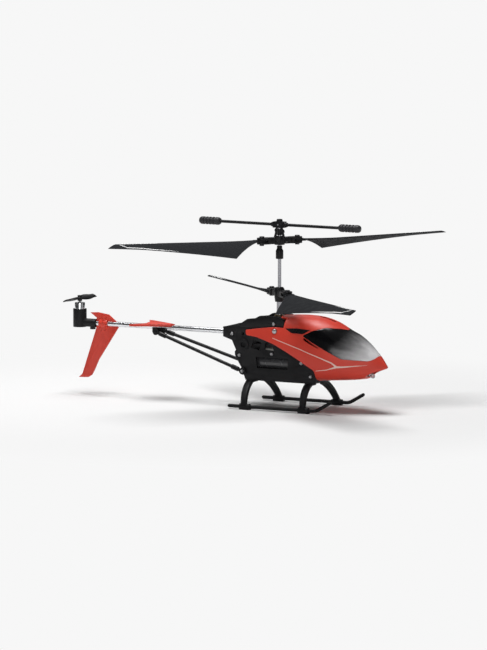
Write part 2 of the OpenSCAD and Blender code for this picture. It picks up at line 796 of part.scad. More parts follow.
module cabin_slab(s, inset) {
    translate([s[0] - 2 * inset * (s[0] > 60 ? 1 : 0), 0, 0]) rotate([90, 0, 90])
        linear_extrude(eps) polygon(cabin_ring(s, inset));
}

module cabin_form(inset) {
    for (i = [0:len(cabin_stations) - 2]) hull() {
        cabin_slab(cabin_stations[i], inset);
        cabin_slab(cabin_stations[i + 1], inset);
    }
}

module cabin_skin() {
    difference() {
        cabin_form(0);
        cabin_form(cabin_wall);
    }
}

// Outlines in the side view, each a list of [x, z]
cabin_outline = [[-16.2, 43.8], [-15.3, 41], [-8.3, 40.2], [3, 36.9], [11.5, 33.2], [19.9, 29.1],
    [29, 23.9], [29.6, 22.1], [29, 17.3], [29.5, 10], [55, 10], [55.5, 18.8], [57.5, 21.5], [60.5, 23],
    [66.8, 25.2], [75, 26], [75, 60], [roof_rear_x + 0.2, 60], [roof_rear_x + 0.2, roof_seat_z + 0.1],
    [7.7, roof_seat_z], [7.9, 47.9], [8.2, 46], [2.2, 46.3], [-5.4, 45.4]];
window_outline = [[21.5, 42.7], [27, 45.5], [34, 47.4], [41, 46.8], [46, 45.3], [48, 55], [75, 55],
    [62.5, 31.2], [59.7, 29.8], [45.2, 30.8]];
vent_outline = [[9.4, 46], [17.8, 46.4], [25.6, 45.9], [21.4, 43.7], [14, 43.9]];

// A screw on each side fastens the cabin to the side plates; its head lies in a flat seat
screw_seat_y = cabin_half * 0.72;

module lamp_form(extra) {
    translate([58.9, 0, 20.6]) {
        sphere(r = lamp_r + extra);
        rotate([0, -60, 0]) cylinder(r = lamp_r + extra, h = 2 + extra);
    }
}

module cabin_side(y0, y1) {
    difference() {
        intersection() {
            cabin_skin();
            side_prism(cabin_outline, y0, y1);
        }
        side_prism(window_outline, -40, 40);
        side_prism(vent_outline, -40, 40);
        cross_pin(cabin_screw, -40, 40, screw_r + 0.05);
        mirror_copy() {
            cross_pin(cabin_screw, screw_seat_y, cabin_half + 1, cabin_screw_head_r + 0.1);
            translate([-20, roof_half - 0.1, 36]) cube([27.8, frame_half - roof_half + 0.15, 24]);
        }
        lamp_form(0.1);
    }
    difference() {
        cross_pin(cabin_screw, y0 < 0 ? -screw_seat_y : frame_half,
            y0 < 0 ? -frame_half : screw_seat_y, cabin_screw_head_r + 0.4);
        cross_pin(cabin_screw, -40, 40, screw_r + 0.05);
    }
}

module cabin_left() {
    color("#cf4535") at_mast() cabin_side(0, 40);
}

module cabin_right() {
    color("#cf4535") at_mast() cabin_side(-40, 0);
}

module windshield() {
    color("#4b4d50") at_mast() intersection() {
        cabin_skin();
        side_prism(window_outline, -40, 40);
    }
}

module vent_panels() {
    color("#1c1c1e") at_mast() intersection() {
        cabin_skin();
        side_prism(vent_outline, -40, 40);
    }
}

module nose_lamp() {
    color("#e8eaec") at_mast() lamp_form(0);
}

module cabin_screws() {
    color("#c9cacc") at_mast() mirror_copy() {
        cross_pin(cabin_screw, frame_inner + 0.2, screw_seat_y, screw_r);
        translate([cabin_screw[0], screw_seat_y, cabin_screw[1]]) rotate([-90, 0, 0])
            cylinder(r1 = cabin_screw_head_r, r2 = cabin_screw_head_r - 0.3, h = 0.6);
    }
}

// ---- Electronics ----

tray_z = 22.4;
tray_t = 1.2;
tray_half = 9;
battery_len = 17;
battery_h = 5;
board_z = tray_z + tray_t + battery_h + 2;
socket_place = [18.6, 21.6];
socket_r = 1.9;
socket_bore_r = 1.25;
switch_z = 19.4;
switch_w = 6;
switch_h = 3;
knob_travel = 1;

module nose_tray() {
    color("#2b2b2d") at_mast() difference() {
        union() {
            translate([24, -frame_inner + 0.2, tray_z]) cube([25, 2 * frame_inner - 0.4, tray_t]);
            for (x = [30, 46]) for (y = [-6, 6]) translate([x, y, tray_z]) cylinder(r = 1, h = board_z - tray_z);
            translate([48, -3, 21]) cube([6.4, 6, tray_t + 1.4]);
        }
        cross_pin(toe_screw, -20, 20, spacer_r + 0.1);
    }
}

module battery() {
    color("#8fa6b8") at_mast() translate([32 - 0.5, -5 + 0.5, tray_z + tray_t])
        minkowski() {
            cube([battery_len - 4, 9, battery_h - 1]);
            cylinder(r = 0.5, h = 1, $fn = 16);
        }
}

module circuit_board() {
    color("#2f6b46") at_mast() {
        translate([28.5, -7.5, board_z]) cube([19.5, 15, 1]);
        translate([32, -3, board_z + 1]) cube([5, 6, 1]);
        translate([40, -5, board_z + 1]) cube([3, 3, 1.4]);
        translate([44, 2, board_z + 1]) cylinder(r = 1.5, h = 2.6);
    }
}

module charge_socket() {
    color("#1c1c1e") at_mast() difference() {
        cross_pin(socket_place, frame_half - 6.4, frame_half, socket_r);
        cross_pin(socket_place, frame_half - 5, frame_half + 1, socket_bore_r);
    }
}

module switch_housing() {
    color("#1c1c1e") at_mast() difference() {
        translate([-switch_w / 2, frame_half - 5, switch_z - switch_h / 2])
            cube([switch_w, 5, switch_h]);
        translate([-1 - knob_travel, frame_half - 2, switch_z - 0.75])
            cube([2 + 2 * knob_travel, 4, 1.5]);
    }
}

module switch_knob() {
    color("#d8d8d6") at_mast() translate([-0.95, frame_half - 1.8, switch_z - 0.7])
        cube([1.9, 3, 1.4]);
}

// ---- Skids ----

module skid() {
    toe = [skid_bend_x + skid_bend_r * sin(skid_bend), 0, skid_z + skid_bend_r * (1 - cos(skid_bend))];
    tip = toe + skid_toe * [cos(skid_bend), 0, sin(skid_bend)];
    translate([0, skid_y, 0]) {
        x_rod(skid_rear_x, skid_bend_x, 0, skid_z, skid_r);
        translate([skid_rear_x, 0, skid_z]) sphere(r = skid_r);
        translate([skid_bend_x, 0, skid_z + skid_bend_r]) rotate([90, 0, 0]) rotate([0, 0, -90])
            rotate_extrude(angle = skid_bend) translate([skid_bend_r, 0]) circle(r = skid_r);
        rod(toe, tip, skid_r);
        translate(tip) sphere(r = skid_r);
    }
}

module skid_left() {
    color("#1f1f21") at_mast() skid();
}

module skid_right() {
    color("#1f1f21") at_mast() mirror([0, 1, 0]) skid();
}

// A leg bows out from under the frame, leans forward on its way down and grips the skid rod
leg_run = leg_top - leg_foot;
leg_chord = norm(leg_run);
leg_sag = leg_bow * leg_chord;
leg_r = (pow(leg_chord / 2, 2) + pow(leg_sag, 2)) / (2 * leg_sag);
leg_normal = [leg_run[1], -leg_run[0]] / leg_chord;
leg_centre = (leg_foot + leg_top) / 2 - (leg_r - leg_sag) * leg_normal;
leg_from = atan2(leg_foot[1] - leg_centre[1], leg_foot[0] - leg_centre[0]);
leg_to = atan2(leg_top[1] - leg_centre[1], leg_top[0] - leg_centre[0]);

module leg_bar() {
    intersection() {
        translate([0, leg_centre[0], leg_centre[1]]) rotate([90, 0, 90]) rotate([0, 0, leg_from - 6])
            rotate_extrude(angle = leg_to - leg_from + 9) translate([leg_r, 0])
                square([leg_t, 2 * leg_top_w], center = true);
        side_prism([[-leg_w / 2, 0], [leg_w / 2, 0], [leg_top_w / 2, frame_bottom_z + 2],
            [-leg_top_w / 2, frame_bottom_z + 2]], 0, skid_y + 5);
    }
}

module leg(x) {
    translate([x, 0, 0]) difference() {
        union() {
            translate([0, 0, skid_z]) rotate([0, -leg_lean, 0]) translate([0, 0, -skid_z]) leg_bar();
            translate([-leg_top_w / 2 - 3, leg_root_y, frame_bottom_z - leg_pad_t])
                cube([leg_top_w + 0.6, frame_half - leg_root_y, leg_pad_t]);
            x_rod(-sleeve_len / 2, sleeve_len / 2, skid_y, skid_z, sleeve_r);
            translate([-sleeve_len / 2, skid_y - 1.3, 0]) cube([sleeve_len, 2.6, 0.7]);
        }
        x_rod(-sleeve_len, sleeve_len, skid_y, skid_z, skid_r);
        translate([-20, 0, frame_bottom_z]) cube([40, 40, 10]);
    }
}

module legs() {
    leg(leg_rear_x);
    leg(leg_front_x);
}

module legs_left() {
    color("#1f1f21") at_mast() legs();
}

module legs_right() {
    color("#1f1f21") at_mast() mirror([0, 1, 0]) legs();
}

// ---- Tail ----

module tail_boom() {
    color("#c4c6c9") at_mast() difference() {
        x_rod(boom_rear_x, boom_front_x, 0, boom_z, boom_r);
        x_rod(boom_rear_x - 1, boom_front_x + 1, 0, boom_z, boom_r - boom_wall);
    }
}

module strut_bracket() {
    ear_y = strut_rear[1] - strut_tab_t / 2;
    color("#1f1f21") at_mast() difference() {
        union() {
            translate([bracket_rear_x, -saddle_r, boom_z - saddle_r - 0.4])
                cube([bracket_front_x - bracket_rear_x, 2 * saddle_r, saddle_r + 0.2]);
            translate([strut_rear[0] - 1.6, -ear_y, strut_rear[2] - 1.3])
                cube([3.2, 2 * ear_y, boom_z - saddle_r - strut_rear[2] + 1.5]);
            cross_pin([strut_rear[0], strut_rear[2]], -ear_y - strut_tab_t - 0.3,
                ear_y + strut_tab_t + 0.3, screw_r);
        }
        x_rod(bracket_rear_x - 1, bracket_front_x + 1, 0, boom_z, boom_r);
    }
}

module strut() {
    front = [strut_screw[0], frame_half + strut_tab_t / 2, strut_screw[1]];
    run = strut_rear - front;
    way = run / norm(run);
    tilt = atan2(way[2], -way[0]);
    start = front + 3 * way;
    end = strut_rear - 2.6 * way;
    difference() {
        union() {
            rod(start, end, strut_d / 2);
            rod(start, start + 4.4 * way, strut_d / 2 + 0.4);
            rod(end - 4.4 * way, end, strut_d / 2 + 0.4);
            for (p = [front, strut_rear])
                cross_pin([p[0], p[2]], p[1] - strut_tab_t / 2, p[1] + strut_tab_t / 2, 1.9);
            translate(front) rotate([0, tilt, 0]) translate([-3.6, -strut_tab_t / 2, -0.8])
                cube([3.6, strut_tab_t, 1.6]);
            translate(strut_rear) rotate([0, tilt, 0]) translate([0, -strut_tab_t / 2, -0.8])
                cube([3.4, strut_tab_t, 1.6]);
        }
        for (p = [front, strut_rear])
            cross_pin([p[0], p[2]], p[1] - 3, p[1] + 3, screw_r);
    }
}

module strut_left() {
    color("#1f1f21") at_mast() strut();
}

module strut_right() {
    color("#1f1f21") at_mast() mirror([0, 1, 0]) strut();
}

// The fin's outline hangs from the boom and sweeps back, with a low crest above the boom
fin_outline = [for (p = [[25.5, 39.5], [23.8, 42.6], [19, 46.3], [12, 47.3], [7.3, 47], [11.4, 44.2],
    [11.2, 43], [11.2, 38.6], [1.8, 11.3], [-0.6, 9.2], [2.2, 9.3], [5.6, 9.5], [8, 11], [9.6, 14],
    [12.4, 19.9], [19.4, 30.4]])
    [tail_x + p[0], p[1]]];

module tail_fin() {
    color("#cf4535") at_mast() difference() {
        union() {
            side_prism(fin_outline, -fin_t / 2, fin_t / 2);
            x_rod(fin_sleeve_rear_x, fin_sleeve_front_x, 0, boom_z, saddle_r);
            translate([(fin_sleeve_rear_x + fin_sleeve_front_x) / 2, 0, fin_boss_z[0]])
                cylinder(r = fin_boss_r, h = fin_boss_z[1] - fin_boss_z[0]);
            cross_pin([fin_sleeve_front_x - 2, boom_z + 0.2], -saddle_r - 0.4, saddle_r + 0.4, 1.3);
        }
        x_rod(tail_x, fin_sleeve_front_x + 20, 0, boom_z, boom_r);
    }
}

stab_z = boom_z + 0.9;
stab_rear_x = -84.5;
stab_front_x = -67;

module stabilizer() {
    h = stabilizer_half;
    color("#cf4535") at_mast() difference() {
        union() {
            translate([0, 0, stab_z]) linear_extrude(fin_t)
                polygon([[stab_front_x, 0], [-70.5, 2.6], [-87.5, h], [-90.2, h], [stab_rear_x, 3],
                    [stab_rear_x, -3], [-90.2, -h], [-87.5, -h], [-70.5, -2.6]]);
            intersection() {
                x_rod(stab_rear_x, stab_front_x - 2, 0, boom_z, saddle_r);
                translate([-100, -5, stab_z]) cube([40, 10, 10]);
            }
        }
        x_rod(-100, -50, 0, boom_z, boom_r);
    }
}

module tail_motor_mount() {
    color("#1f1f21") at_mast() difference() {
        union() {
            translate([tail_x, 0, 38.4]) cylinder(r = mount_r, h = 10.4);
            x_rod(tail_x, mount_front_x, 0, boom_z, saddle_r);
            translate([tail_x + 8.5, 0, boom_z - saddle_r - 1.2]) cylinder(r = 1.6, h = 3);
        }
        translate([tail_x, 0, 39.6]) cylinder(r = tail_motor_d / 2, h = 20);
        x_rod(boom_rear_x, 0, 0, boom_z, boom_r);
    }
}

module tail_motor() {
    color("#c4c6c9") at_mast() translate([tail_x, 0, 0]) difference() {
        union() {
            translate([0, 0, 39.6]) cylinder(r = tail_motor_d / 2, h = tail_can_top_z - 39.6);
            translate([0, 0, tail_can_top_z - eps]) cylinder(r = 1.1, h = 0.5);
        }
        translate([0, 0, tail_can_top_z - 4]) cylinder(r = tail_shaft_r + run_gap, h = 6);
    }
}

// One ring of a tail propeller blade, from the hub out to the tip
tail_chord = 4.4;
tail_steps = 5;
function tail_ring(k) = let(
        t = k / tail_steps,
        r = 1 + (tail_prop_r - 1) * t,
        c = tail_chord * (0.55 + 0.6 * sin(180 * min(t + 0.08, 0.86))),
        p = 36 - 10 * t)
    [for (a = [0:-45:-315]) let(y = c / 2 * cos(a), z = 0.4 * sin(a))
        [r, y * cos(p) - z * sin(p), y * sin(p) + z * cos(p)]];

module tail_propeller() {
    color("#2b2b2d") at_mast() translate([tail_x, 0, tail_prop_z]) {
        rotate([0, 0, 89]) for (s = [0, 180]) rotate([0, 0, s])
            loft([for (k = [0:tail_steps]) tail_ring(k)]);
        translate([0, 0, -1.6]) cylinder(r = 1.35, h = 3.2);
        translate([0, 0, tail_can_top_z - 3.6 - tail_prop_z])
            cylinder(r = tail_shaft_r, h = tail_prop_z - 1.5 - tail_can_top_z + 3.6);
    }
}

side_plate_left();
side_plate_right();
frame_floor();
motor_deck();
gear_deck();
rotor_housing();
boom_clamp();
motor_guards();
frame_spacers();
shaft_bearings();
motor_front();
motor_rear();
nose_tray();
battery();
circuit_board();
charge_socket();
switch_housing();
switch_knob();
cabin_left();
cabin_right();
windshield();
vent_panels();
nose_lamp();
skid_left();
skid_right();
legs_left();
legs_right();
tail_boom();
strut_bracket();
strut_left();
strut_right();
tail_fin();
stabilizer();
tail_motor_mount();
tail_motor();
tail_propeller();
frame_screws();
cabin_screws();
inner_shaft();
inner_gear();
mast_collar();
rotor_pins();
outer_shaft();
outer_gear();
lower_grip();
lower_blade_screws();
upper_grip();
upper_blade_screws();
flybar_carrier();
flybar_rod();
flybar_weights();
link_a();
link_b();
upper_blade_a();
upper_blade_b();
lower_blade_a();
lower_blade_b();
front_pinion();
rear_pinion();
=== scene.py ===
"""Looks of the coaxial toy helicopter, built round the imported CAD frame. All lengths are in metres."""
import math

import bmesh
import bpy
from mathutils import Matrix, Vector
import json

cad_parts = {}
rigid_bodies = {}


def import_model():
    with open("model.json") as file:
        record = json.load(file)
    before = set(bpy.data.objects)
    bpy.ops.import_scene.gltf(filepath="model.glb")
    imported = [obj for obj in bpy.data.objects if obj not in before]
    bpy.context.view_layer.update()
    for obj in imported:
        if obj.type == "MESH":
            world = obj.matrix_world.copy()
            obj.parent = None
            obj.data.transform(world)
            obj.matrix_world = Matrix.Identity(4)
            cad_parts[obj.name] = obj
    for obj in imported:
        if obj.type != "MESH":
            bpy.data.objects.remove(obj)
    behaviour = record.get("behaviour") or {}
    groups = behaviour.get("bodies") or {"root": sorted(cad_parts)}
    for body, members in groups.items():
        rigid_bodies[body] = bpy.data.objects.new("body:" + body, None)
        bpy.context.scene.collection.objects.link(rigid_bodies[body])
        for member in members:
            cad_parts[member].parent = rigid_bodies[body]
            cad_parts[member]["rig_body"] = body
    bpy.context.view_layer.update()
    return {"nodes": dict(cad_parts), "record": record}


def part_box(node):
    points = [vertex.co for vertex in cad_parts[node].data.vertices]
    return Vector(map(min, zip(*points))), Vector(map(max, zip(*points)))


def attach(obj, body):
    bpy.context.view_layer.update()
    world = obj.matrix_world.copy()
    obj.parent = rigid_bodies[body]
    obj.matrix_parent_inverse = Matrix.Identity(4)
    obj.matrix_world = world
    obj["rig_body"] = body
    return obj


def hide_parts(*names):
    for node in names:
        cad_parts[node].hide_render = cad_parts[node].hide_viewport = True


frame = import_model()
NODES = frame["nodes"]
MM = 0.001


def centre(node):
    low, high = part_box(node)
    return (low + high) / 2


MAST_X = centre("inner_shaft").x


# ---- Camera, lights and floor ----

VIEW_AZIMUTH = math.radians(27.75)
VIEW_ELEVATION = math.radians(6.68)
VIEW_DISTANCE = 3.0
VIEW_LENS = 294.9
VIEW_SENSOR = 36
AIM_HEIGHT = 60 * MM
AIM_LEFT = 20.3 * MM
AIM_DOWN = 13.6 * MM


def make_camera():
    back = Vector((math.sin(VIEW_AZIMUTH) * math.cos(VIEW_ELEVATION),
                   -math.cos(VIEW_AZIMUTH) * math.cos(VIEW_ELEVATION), math.sin(VIEW_ELEVATION)))
    right = Vector((math.cos(VIEW_AZIMUTH), math.sin(VIEW_AZIMUTH), 0))
    up = back.cross(right)
    aim = Vector((MAST_X, 0, AIM_HEIGHT)) - right * AIM_LEFT - up * AIM_DOWN
    camera = bpy.data.objects.new("camera", bpy.data.cameras.new("camera"))
    bpy.context.scene.collection.objects.link(camera)
    camera.data.lens = VIEW_LENS
    camera.data.sensor_width = VIEW_SENSOR
    camera.data.clip_start = 0.05
    camera.data.clip_end = 50
    camera.location = aim + back * VIEW_DISTANCE
    camera.rotation_mode = "QUATERNION"
    camera.rotation_quaternion = (-back).to_track_quat("-Z", "Y")
    bpy.context.scene.camera = camera


def area_light(name, place, target, size, power):
    data = bpy.data.lights.new(name, "AREA")
    data.shape = "DISK"
    data.size = size
    data.energy = power
    light = bpy.data.objects.new(name, data)
    bpy.context.scene.collection.objects.link(light)
    light.location = place
    light.rotation_mode = "QUATERNION"
    light.rotation_quaternion = (Vector(target) - Vector(place)).to_track_quat("-Z", "Y")


PALE = 0.93


def make_world():
    """The pale backdrop the camera sees, and a dim sky, brighter overhead, that lights the model."""
    world = bpy.data.worlds.new("studio")
    bpy.context.scene.world = world
    world.use_nodes = True
    nodes, links = world.node_tree.nodes, world.node_tree.links
    nodes.clear()
    out = nodes.new("ShaderNodeOutputWorld")
    seen = nodes.new("ShaderNodeBackground")
    seen.inputs["Color"].default_value = (PALE, PALE, PALE, 1)
    glow = nodes.new("ShaderNodeBackground")
    glow.inputs["Strength"].default_value = 0.06
    place = nodes.new("ShaderNodeTexCoord")
    parts = nodes.new("ShaderNodeSeparateXYZ")
    sky = nodes.new("ShaderNodeMapRange")
    sky.inputs["From Min"].default_value = 0.05
    sky.inputs["From Max"].default_value = 0.6
    sky.inputs["To Min"].default_value = 0.15
    sky.inputs["To Max"].default_value = 1.8
    links.new(place.outputs["Generated"], parts.inputs[0])
    links.new(parts.outputs["Z"], sky.inputs["Value"])
    links.new(sky.outputs["Result"], glow.inputs["Color"])
    path = nodes.new("ShaderNodeLightPath")
    mix = nodes.new("ShaderNodeMixShader")
    links.new(path.outputs["Is Camera Ray"], mix.inputs[0])
    links.new(glow.outputs[0], mix.inputs[1])
    links.new(seen.outputs[0], mix.inputs[2])
    links.new(mix.outputs[0], out.inputs[0])


def make_lights():
    """One wide lamp above gives most of the light; three weak ones lift the sides."""
    middle = (0, 0, 40 * MM)
    area_light("overhead", (-0.16, 0, 0.9), middle, 0.55, 9.4)
    area_light("key", (0.4, -1.1, 0.3), middle, 0.6, 2.4)
    area_light("fill", (1.1, -0.2, 0.2), middle, 0.7, 0.5)
    area_light("rim", (-0.45, 0.75, 0.55), middle, 0.5, 0.4)


def make_floor():
    """A matt floor that turns into an even pale tone away from the model."""
    mesh = bpy.data.meshes.new("floor")
    mesh.from_pydata([(-6, -6, 0), (6, -6, 0), (6, 6, 0), (-6, 6, 0)], [], [(0, 1, 2, 3)])
    floor = bpy.data.objects.new("floor", mesh)
    bpy.context.scene.collection.objects.link(floor)
    material = bpy.data.materials.new("floor")
    material.use_nodes = True
    nodes, links = material.node_tree.nodes, material.node_tree.links
    nodes.clear()
    out = nodes.new("ShaderNodeOutputMaterial")
    matt = nodes.new("ShaderNodeBsdfDiffuse")
    matt.inputs["Color"].default_value = (0.8, 0.8, 0.8, 1)
    far = nodes.new("ShaderNodeEmission")
    far.inputs["Color"].default_value = (PALE, PALE, PALE, 1)
    mix = nodes.new("ShaderNodeMixShader")
    place = nodes.new("ShaderNodeTexCoord")
    length = nodes.new("ShaderNodeVectorMath")
    length.operation = "LENGTH"
    ramp = nodes.new("ShaderNodeMapRange")
    ramp.interpolation_type = "SMOOTHSTEP"
    ramp.inputs["From Min"].default_value = 0.12
    ramp.inputs["From Max"].default_value = 0.26
    links.new(place.outputs["Object"], length.inputs[0])
    links.new(length.outputs["Value"], ramp.inputs["Value"])
    links.new(ramp.outputs["Result"], mix.inputs[0])
    links.new(matt.outputs[0], mix.inputs[1])
    links.new(far.outputs[0], mix.inputs[2])
    links.new(mix.outputs[0], out.inputs["Surface"])
    mesh.materials.append(material)


# ---- Materials ----

class Shade:
    """A Principled material with small helpers for its procedural detail."""

    def __init__(self, name, colour, roughness, metallic=0.0):
        self.material = bpy.data.materials.new(name)
        self.material.use_nodes = True
        self.nodes = self.material.node_tree.nodes
        self.links = self.material.node_tree.links
        self.shader = self.nodes["Principled BSDF"]
        self.colour = colour
        self.roughness = roughness
        self.set("Base Color", (*colour, 1))
        self.set("Roughness", roughness)
        self.set("Metallic", metallic)
        self.place = self.nodes.new("ShaderNodeTexCoord").outputs["Object"]

    def set(self, socket, value):
        self.shader.inputs[socket].default_value = value

    def scaled(self, scale, turn=(0, 0, 0)):
        mapping = self.nodes.new("ShaderNodeMapping")
        mapping.inputs["Scale"].default_value = scale
        mapping.inputs["Rotation"].default_value = turn
        self.links.new(self.place, mapping.inputs["Vector"])
        return mapping.outputs["Vector"]

    def noise(self, scale, detail=3.0, stretch=(1, 1, 1), turn=(0, 0, 0)):
        noise = self.nodes.new("ShaderNodeTexNoise")
        noise.inputs["Scale"].default_value = scale
        noise.inputs["Detail"].default_value = detail
        self.links.new(self.scaled(stretch, turn), noise.inputs["Vector"])
        return noise.outputs["Fac"]

    def spread(self, value, low, high, start=0.3, stop=0.7):
        ramp = self.nodes.new("ShaderNodeMapRange")
        ramp.inputs["From Min"].default_value = start
        ramp.inputs["From Max"].default_value = stop
        ramp.inputs["To Min"].default_value = low
        ramp.inputs["To Max"].default_value = high
        self.links.new(value, ramp.inputs["Value"])
        return ramp.outputs["Result"]

    def mix(self, factor, first, second):
        mix = self.nodes.new("ShaderNodeMix")
        mix.data_type = "RGBA"
        self.links.new(factor, mix.inputs["Factor"])
        for socket, value in (("A", first), ("B", second)):
            target = [i for i in mix.inputs if i.name == socket and i.type == "RGBA"][0]
            if isinstance(value, tuple):
                target.default_value = (*value, 1)
            else:
                self.links.new(value, target)
        return [o for o in mix.outputs if o.type == "RGBA"][0]

    def math(self, operation, first, second):
        node = self.nodes.new("ShaderNodeMath")
        node.operation = operation
        for socket, value in zip(node.inputs, (first, second)):
            if isinstance(value, (int, float)):
                socket.default_value = value
            else:
                self.links.new(value, socket)
        return node.outputs[0]

    def mottle(self, scale, share=0.12):
        """Slow colour change, as moulded plastic has."""
        darker = tuple(c * (1 - share) for c in self.colour)
        lighter = tuple(min(1, c * (1 + share)) for c in self.colour)
        self.links.new(self.mix(self.noise(scale, 4), darker, lighter), self.shader.inputs["Base Color"])

    def vary_roughness(self, scale, share=0.25, stretch=(1, 1, 1)):
        value = self.spread(self.noise(scale, 5, stretch), self.roughness * (1 - share),
                            self.roughness * (1 + share))
        self.links.new(value, self.shader.inputs["Roughness"])

    def bump(self, height, strength, distance):
        bump = self.nodes.new("ShaderNodeBump")
        bump.inputs["Strength"].default_value = strength
        bump.inputs["Distance"].default_value = distance
        self.links.new(height, bump.inputs["Height"])
        self.links.new(bump.outputs["Normal"], self.shader.inputs["Normal"])


def moulded(name, colour, roughness, grain=900, depth=0.03 * MM, coat=0.0, share=0.12, gloss=0.5):
    """Moulded plastic: slow mottling, uneven gloss and a fine grain."""
    shade = Shade(name, colour, roughness)
    shade.set("Specular IOR Level", gloss)
    shade.mottle(60, share)
    shade.vary_roughness(240)
    shade.bump(shade.noise(grain, 2), 0.35, depth)
    if coat:
        shade.set("Coat Weight", coat)
        shade.set("Coat Roughness", 0.12)
    return shade.material


def metal(name, colour, roughness, stretch):
    """Drawn or turned metal with fine streaks along one direction."""
    shade = Shade(name, colour, roughness, 1.0)
    shade.mottle(90, 0.08)
    shade.vary_roughness(900, 0.4, stretch)
    shade.bump(shade.noise(1500, 2, stretch), 0.15, 0.01 * MM)
    return shade.material


def windshield_painted_reflection_material():
    """Glossy black panel: black at the top rear, fading to silver over the nose, with long streaks; the
    silver and the streaks are a painted reflection of the studio light, laid on by position.
    """
    shade = Shade("windshield", (0.01, 0.01, 0.012), 0.16)
    parts = shade.nodes.new("ShaderNodeSeparateXYZ")
    shade.links.new(shade.place, parts.inputs[0])
    along = shade.math("SUBTRACT", parts.outputs["X"], MAST_X)
    slant = shade.math("MULTIPLY", shade.math("SUBTRACT", parts.outputs["Z"], 36 * MM), 0.55)
    # Painted reflection: these long streaks stand for wiggles in the mirrored studio light.
    streaks = shade.noise(260, 3, (0.12, 1, 1), (0, math.radians(32), 0))
    wave = shade.math("MULTIPLY", shade.math("SUBTRACT", streaks, 0.5), 9 * MM)
    reach = shade.math("ADD", shade.math("SUBTRACT", along, slant), wave)
    painted_reflection_fade = shade.spread(reach, 0, 1, 37 * MM, 61 * MM)
    curve = shade.math("POWER", shade.math("MAXIMUM", painted_reflection_fade, 0.0), 2.0)
    # Painted reflection: the black panel colour turns to silver where the studio light would be mirrored.
    shade.links.new(shade.mix(curve, (0.003, 0.003, 0.0035), (0.7, 0.69, 0.7)),
                    shade.shader.inputs["Base Color"])
    shade.set("Coat Weight", 0.15)
    shade.set("Coat Roughness", 0.08)
    shade.set("Specular IOR Level", 0.3)
    shade.bump(shade.noise(40, 1), 0.02, 0.01 * MM)
    return shade.material


def blade_material():
    """Charcoal blade moulding with a faint fine grain."""
    shade = Shade("blade_charcoal", (0.02, 0.021, 0.023), 0.6)
    shade.set("Specular IOR Level", 0.02)
    shade.mottle(35, 0.06)
    shade.vary_roughness(300, 0.2)
    shade.bump(shade.noise(1200, 2), 0.1, 0.01 * MM)
    return shade.material


def board_material():
    shade = Shade("board", (0.02, 0.14, 0.06), 0.35)
    shade.links.new(shade.mix(shade.spread(shade.noise(900, 1), 0, 1, 0.5, 0.56),
                              (0.02, 0.13, 0.06), (0.05, 0.22, 0.1)), shade.shader.inputs["Base Color"])
    shade.bump(shade.noise(700, 1), 0.3, 0.05 * MM)
    return shade.material


def lamp_material():
    shade = Shade("lamp_clear", (0.92, 0.93, 0.95), 0.08)
    shade.set("Transmission Weight", 0.75)
    shade.set("IOR", 1.49)
    shade.mottle(300, 0.04)
    shade.bump(shade.noise(500, 1), 0.1, 0.02 * MM)
    return shade.material


ALONG_X = (0.05, 1, 1)
ALONG_Z = (1, 1, 0.05)

MATERIALS = {
    "red_shell": moulded("red_shell", (0.66, 0.055, 0.034), 0.42, 700, 0.02 * MM, 0.05, 0.03, 0.3),
    "black_frame": moulded("black_frame", (0.01, 0.01, 0.011), 0.5, gloss=0.2),
    "housing_black": moulded("housing_black", (0.009, 0.009, 0.01), 0.42, 1100, gloss=0.2),
    "windshield": windshield_painted_reflection_material(),
    "blade_charcoal": blade_material(),
    "weight_grey": moulded("weight_grey", (0.034, 0.034, 0.037), 0.45, gloss=0.2),
    "strut_black": moulded("strut_black", (0.01, 0.01, 0.011), 0.4, 1400, gloss=0.2),
    "boom_metal": metal("boom_metal", (0.78, 0.79, 0.81), 0.2, ALONG_X),
    "shaft_steel": metal("shaft_steel", (0.32, 0.32, 0.34), 0.26, ALONG_Z),
    "motor_steel": metal("motor_steel", (0.42, 0.42, 0.44), 0.34, ALONG_Z),
    "screw_steel": metal("screw_steel", (0.46, 0.46, 0.47), 0.34, (1, 1, 1)),
    "screw_dark": metal("screw_dark", (0.07, 0.07, 0.075), 0.34, (1, 1, 1)),
    "bearing_brass": metal("bearing_brass", (0.2, 0.16, 0.1), 0.5, ALONG_Z),
    "gear_nylon": moulded("gear_nylon", (0.7, 0.69, 0.64), 0.42, 1300),
    "battery_wrap": moulded("battery_wrap", (0.3, 0.4, 0.52), 0.28, 500, 0.05 * MM, 0.3),
    "board": board_material(),
    "switch_white": moulded("switch_white", (0.66, 0.66, 0.64), 0.4, 1200),
    "lamp_clear": lamp_material(),
    "guard_smoke": moulded("guard_smoke", (0.045, 0.045, 0.048), 0.24, 1200, 0.01 * MM, 0.2, gloss=0.6),
    "pale_line": moulded("pale_line", (0.78, 0.56, 0.5), 0.4, 900, 0.01 * MM),
    "white_line": moulded("white_line", (0.8, 0.8, 0.8), 0.42, 900, 0.01 * MM),
}
SLOT_OF = {row["node"]: row["material_slot"] for row in frame["record"]["subparts"]}


# ---- Piece helpers ----

def add_piece(name, mesh, body, material, replaces=(), sharp=35):
    piece = bpy.data.objects.new(name, mesh)
    bpy.context.scene.collection.objects.link(piece)
    mesh.materials.clear()
    mesh.materials.append(MATERIALS[material])
    mesh.shade_smooth()
    mesh.set_sharp_from_angle(angle=math.radians(sharp))
    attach(piece, body)
    if replaces:
        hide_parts(*replaces)
    return piece


def mesh_of(name, points, faces):
    mesh = bpy.data.meshes.new(name)
    mesh.from_pydata([tuple(p) for p in points], [], faces)
    mesh.validate()
    return mesh


